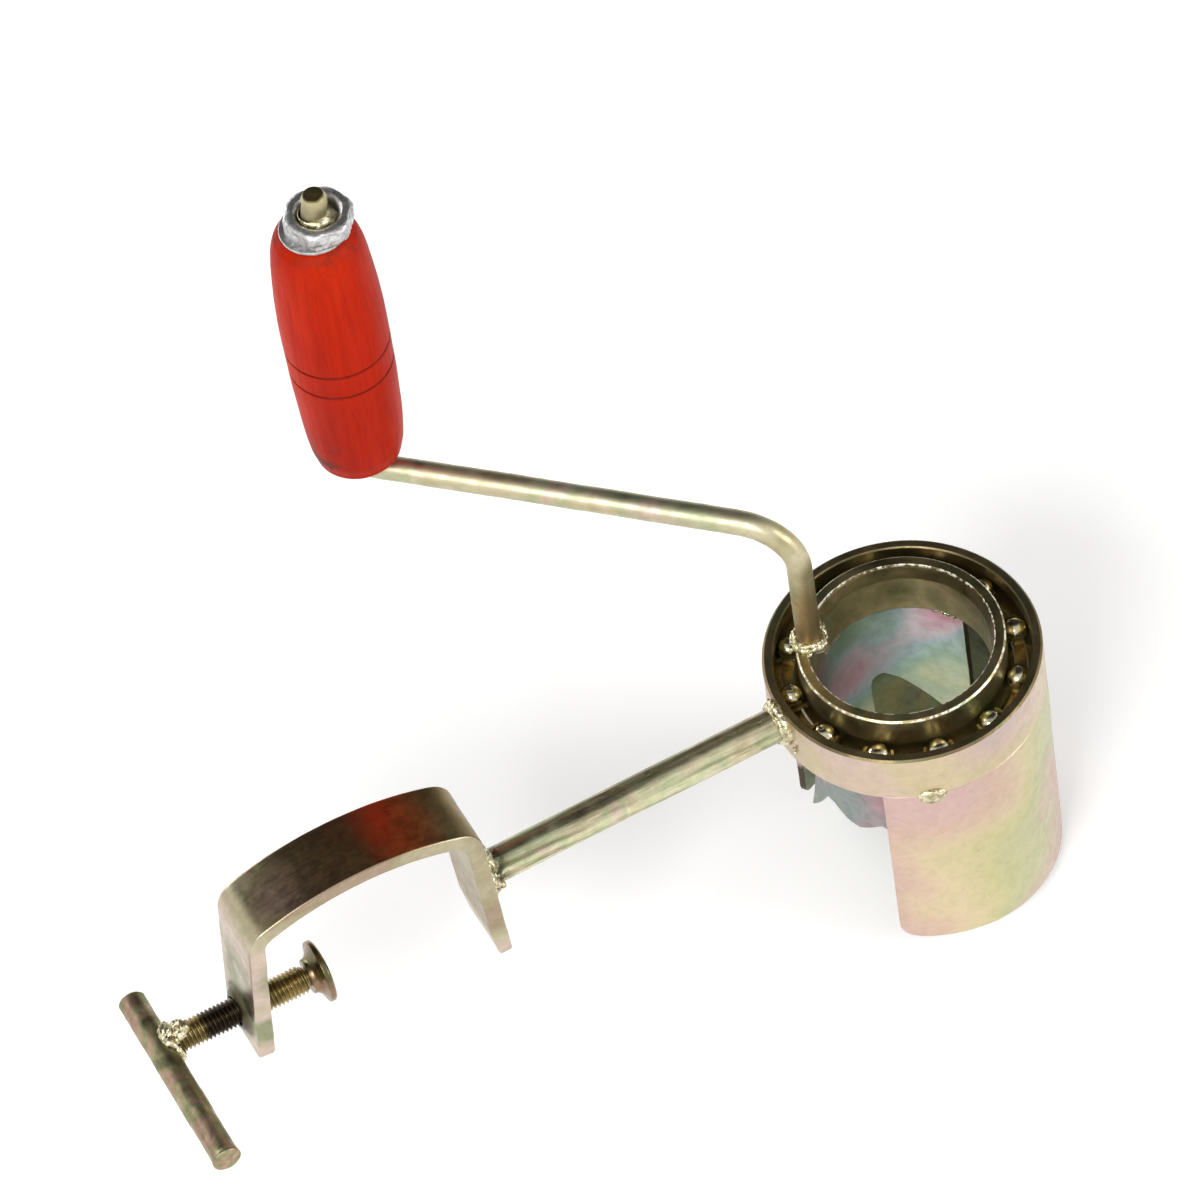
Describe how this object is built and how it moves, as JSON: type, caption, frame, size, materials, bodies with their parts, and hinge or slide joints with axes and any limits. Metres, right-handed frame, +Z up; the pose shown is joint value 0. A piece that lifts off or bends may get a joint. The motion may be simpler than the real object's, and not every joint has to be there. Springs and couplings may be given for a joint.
{
  "type": "hand corn sheller",
  "caption": "Hand-cranked corn sheller: an open ball bearing turned by a crank with a wooden grip carries a toothed sleeve inside a half-open shroud, on a rod with a screw clamp.",
  "frame": {"origin": "on the bearing's axis, at the top face of the outer ring", "axes": "+Z up along the bearing axis towards the crank side; -X from the bearing along the connecting rod to the clamp; +Y completes a right-handed frame"},
  "size_m": [0.3366, 0.1895, 0.311],
  "materials": {
    "bearing_steel": "yellow zinc over ground bearing steel",
    "inner_ring_steel": "yellow zinc over ground bearing steel",
    "ball_steel": "polished bearing balls",
    "cage_steel": "cage under yellow zinc",
    "zinc_sheet": "iridescent yellow zinc on rolled sheet",
    "weld_metal": "plated weld beads",
    "sleeve_sheet": "iridescent yellow zinc on rolled sheet",
    "rod_steel": "yellow zinc on round bar",
    "red_wood": "turned wood, red stain and varnish",
    "washer_steel": "zinc plated washer",
    "nut_zinc": "bright white zinc",
    "clamp_steel": "olive yellow zinc on flat bar",
    "screw_steel": "yellow zinc thread",
    "pad_steel": "yellow zinc pressing",
    "tbar_steel": "mottled yellow zinc on round bar"
  },
  "bodies": {
    "frame": {"outer_race": "bearing_steel", "shroud": "zinc_sheet", "shroud_welds": "weld_metal", "connecting_rod": "rod_steel", "rod_weld_bearing": "weld_metal", "rod_weld_clamp": "weld_metal", "clamp_frame": "clamp_steel"},
    "rotor": {"inner_race": "inner_ring_steel", "stripper_sleeve": "sleeve_sheet", "sleeve_welds": "weld_metal", "crank_rod": "rod_steel", "crank_weld": "weld_metal", "grip_washer_lower": "washer_steel", "grip_washer_upper": "washer_steel", "spindle_nut": "nut_zinc", "nut_weld": "weld_metal"},
    "ball_set": {"bearing_balls": "ball_steel", "bearing_cage": "cage_steel"},
    "grip": {"grip": "red_wood"},
    "pad": {"screw_pad": "pad_steel"},
    "screw": {"clamp_screw": "screw_steel", "t_bar": "tbar_steel", "t_bar_weld": "weld_metal"}
  },
  "joints": [
    {"name": "crank_turn", "type": "hinge", "parent": "frame", "child": "rotor", "pos_m": [0, 0, 0], "axis": [0, 0, 1], "continuous": true},
    {"name": "ball_set_turn", "type": "hinge", "parent": "frame", "child": "ball_set", "pos_m": [0, 0, 0], "axis": [0, 0, 1], "continuous": true},
    {"name": "grip_spin", "type": "hinge", "parent": "rotor", "child": "grip", "pos_m": [-0.13598, 0.11919, 0.125], "axis": [0, 0, 1], "continuous": true},
    {"name": "screw_advance", "type": "slide", "parent": "frame", "child": "pad", "axis": [1, 0, 0], "range_m": [-0.0177, 0.0152]},
    {"name": "screw_turn", "type": "hinge", "parent": "pad", "child": "screw", "pos_m": [-0.25, 0, -0.0215], "axis": [1, 0, 0], "range_deg": [-4200, 3600]}
  ],
  "couplings": [
    {"joint": "ball_set_turn", "follows": "crank_turn", "ratio": 0.44496},
    {"joint": "screw_advance", "follows": "screw_turn", "m_per_rad": 0.00023873}
  ]
}
